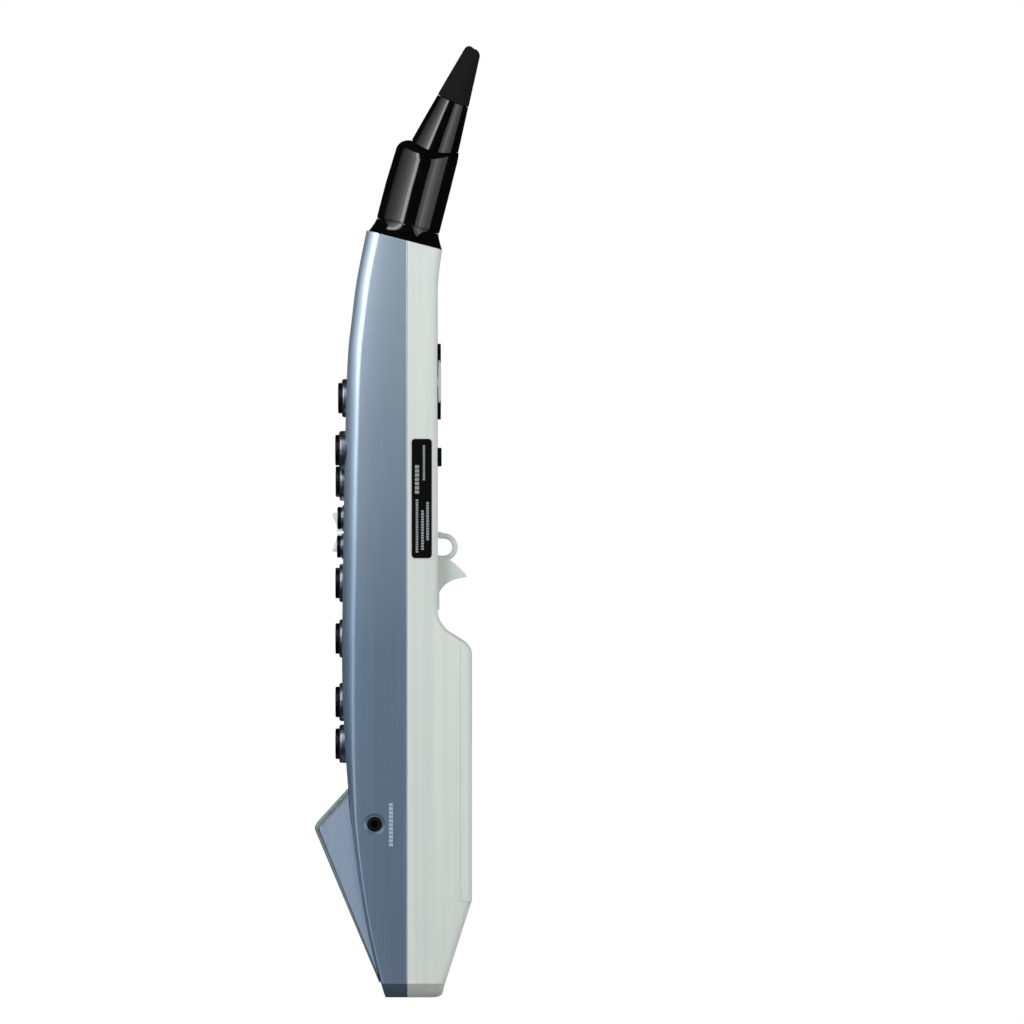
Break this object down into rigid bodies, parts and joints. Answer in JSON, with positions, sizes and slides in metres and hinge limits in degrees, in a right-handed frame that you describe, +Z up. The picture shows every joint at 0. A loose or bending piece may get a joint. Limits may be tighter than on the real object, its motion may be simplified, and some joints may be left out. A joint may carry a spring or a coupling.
{
  "type": "digital wind controller",
  "caption": "Upright electronic wind instrument with mouthpiece, sprung finger keys, thumb controls, speaker horn and battery door.",
  "frame": {"origin": "centre of the strap ring's eye, where the player's neck strap holds the instrument", "axes": "+Z up along the body to the mouthpiece, -Y to the finger keys, +Y to the thumb controls and battery door, +X to the headphone jack"},
  "size_m": [0.044, 0.0808, 0.4662],
  "materials": {
    "blue_shell": "satin metallic",
    "pale_blue_shell": "satin metallic",
    "grey_shell": "fine satin",
    "thumb_parts": "smooth satin",
    "gloss_black": "polished",
    "lip_black": "matte textured",
    "key_black": "smooth satin",
    "bezel_blue": "glossy",
    "frost": "frosted",
    "label_black": "printed film",
    "grille_dark": "satin",
    "steel": "zinc plated",
    "inner_black": "matte",
    "board_green": "lacquered",
    "cell_skin": "satin",
    "cone_paper": "matte",
    "soft_tube": "soft"
  },
  "bodies": {
    "body": {"front_shell": "blue_shell", "rear_shell": "grey_shell", "neck_collar": "gloss_black", "key_bezel_1": "bezel_blue", "key_bezel_2": "bezel_blue", "key_bezel_3": "bezel_blue", "key_bezel_4": "bezel_blue", "key_bezel_5": "bezel_blue", "key_bezel_6": "bezel_blue", "key_bezel_7": "bezel_blue", "key_bezel_8": "bezel_blue", "key_bezel_9": "bezel_blue", "thumb_rest": "thumb_parts", "strap_ring": "thumb_parts", "thumb_hook": "thumb_parts", "screw_upper_right": "steel", "screw_upper_left": "steel", "screw_middle": "steel", "screw_lower": "steel", "screw_foot_right": "steel", "screw_foot_left": "steel", "screw_neck": "steel", "side_label": "label_black", "battery_tray": "inner_black", "battery_cell_1": "cell_skin", "battery_cell_2": "cell_skin", "battery_cell_3": "cell_skin", "battery_cell_4": "cell_skin", "contact_plate_lower": "steel", "contact_plate_upper": "steel", "headphone_jack": "inner_black", "usb_socket": "steel", "speaker_grille": "grille_dark", "speaker_housing": "pale_blue_shell", "speaker_driver": "cone_paper", "key_board": "board_green", "rear_board": "board_green", "breath_sensor": "inner_black", "breath_tube": "soft_tube"},
    "mouthpiece": {"mouthpiece_barrel": "gloss_black", "mouthpiece_beak": "gloss_black", "lip_sleeve": "lip_black"},
    "key_1": {"key_cap_1": "key_black"},
    "key_2": {"key_cap_2": "key_black"},
    "key_3": {"key_cap_3": "key_black"},
    "key_4": {"key_cap_4": "key_black"},
    "key_5": {"key_cap_5": "key_black"},
    "key_6": {"key_cap_6": "key_black"},
    "key_7": {"key_cap_7": "key_black"},
    "key_8": {"key_cap_8": "key_black"},
    "key_9": {"key_cap_9": "key_black"},
    "upper_side_key": {"side_key_upper": "frost"},
    "lower_side_key": {"side_key_lower": "frost"},
    "octave_up": {"octave_up_key": "key_black"},
    "octave_down": {"octave_down_key": "key_black"},
    "function": {"function_button": "key_black"},
    "power": {"power_button": "key_black"},
    "mode_slider": {"slide_switch": "key_black"},
    "door": {"battery_door": "grey_shell", "battery_label": "label_black"}
  },
  "joints": [
    {"name": "key_1_press", "type": "slide", "parent": "body", "child": "key_1", "axis": [0, 1, 0], "range_m": [0, 0.0012], "stiffness_N_per_m": 300, "springref_m": -0.001},
    {"name": "key_2_press", "type": "slide", "parent": "body", "child": "key_2", "axis": [0, 1, 0], "range_m": [0, 0.0012], "stiffness_N_per_m": 300, "springref_m": -0.001},
    {"name": "key_3_press", "type": "slide", "parent": "body", "child": "key_3", "axis": [0, 1, 0], "range_m": [0, 0.0012], "stiffness_N_per_m": 300, "springref_m": -0.001},
    {"name": "key_4_press", "type": "slide", "parent": "body", "child": "key_4", "axis": [0, 1, 0], "range_m": [0, 0.0012], "stiffness_N_per_m": 300, "springref_m": -0.001},
    {"name": "key_5_press", "type": "slide", "parent": "body", "child": "key_5", "axis": [0, 1, 0], "range_m": [0, 0.0012], "stiffness_N_per_m": 300, "springref_m": -0.001},
    {"name": "key_6_press", "type": "slide", "parent": "body", "child": "key_6", "axis": [0, 1, 0], "range_m": [0, 0.0012], "stiffness_N_per_m": 300, "springref_m": -0.001},
    {"name": "key_7_press", "type": "slide", "parent": "body", "child": "key_7", "axis": [0, 1, 0], "range_m": [0, 0.0012], "stiffness_N_per_m": 300, "springref_m": -0.001},
    {"name": "key_8_press", "type": "slide", "parent": "body", "child": "key_8", "axis": [0, 1, 0], "range_m": [0, 0.0012], "stiffness_N_per_m": 300, "springref_m": -0.001},
    {"name": "key_9_press", "type": "slide", "parent": "body", "child": "key_9", "axis": [0, 1, 0], "range_m": [0, 0.0012], "stiffness_N_per_m": 300, "springref_m": -0.001},
    {"name": "upper_side_key_press", "type": "slide", "parent": "body", "child": "upper_side_key", "axis": [0, 1, 0], "range_m": [0, 0.0012], "stiffness_N_per_m": 300, "springref_m": -0.001},
    {"name": "lower_side_key_press", "type": "slide", "parent": "body", "child": "lower_side_key", "axis": [0, 1, 0], "range_m": [0, 0.0012], "stiffness_N_per_m": 300, "springref_m": -0.001},
    {"name": "octave_up_press", "type": "slide", "parent": "body", "child": "octave_up", "axis": [0, -1, 0], "range_m": [0, 0.001], "stiffness_N_per_m": 300, "springref_m": -0.001},
    {"name": "octave_down_press", "type": "slide", "parent": "body", "child": "octave_down", "axis": [0, -1, 0], "range_m": [0, 0.001], "stiffness_N_per_m": 300, "springref_m": -0.001},
    {"name": "function_press", "type": "slide", "parent": "body", "child": "function", "axis": [0, -1, 0], "range_m": [0, 0.001], "stiffness_N_per_m": 300, "springref_m": -0.001},
    {"name": "power_press", "type": "slide", "parent": "body", "child": "power", "axis": [1, 0, 0], "range_m": [0, 0.0007], "stiffness_N_per_m": 300, "springref_m": -0.001},
    {"name": "mode_slide", "type": "slide", "parent": "body", "child": "mode_slider", "axis": [0, 0, -1], "range_m": [0, 0.004]},
    {"name": "door_slide", "type": "slide", "parent": "body", "child": "door", "axis": [0, 0, 1], "range_m": [0, 0.0075]},
    {"name": "mouthpiece_pull", "type": "slide", "parent": "body", "child": "mouthpiece", "axis": [0, 0.2504, 0.9681], "range_m": [0, 0.02]}
  ]
}
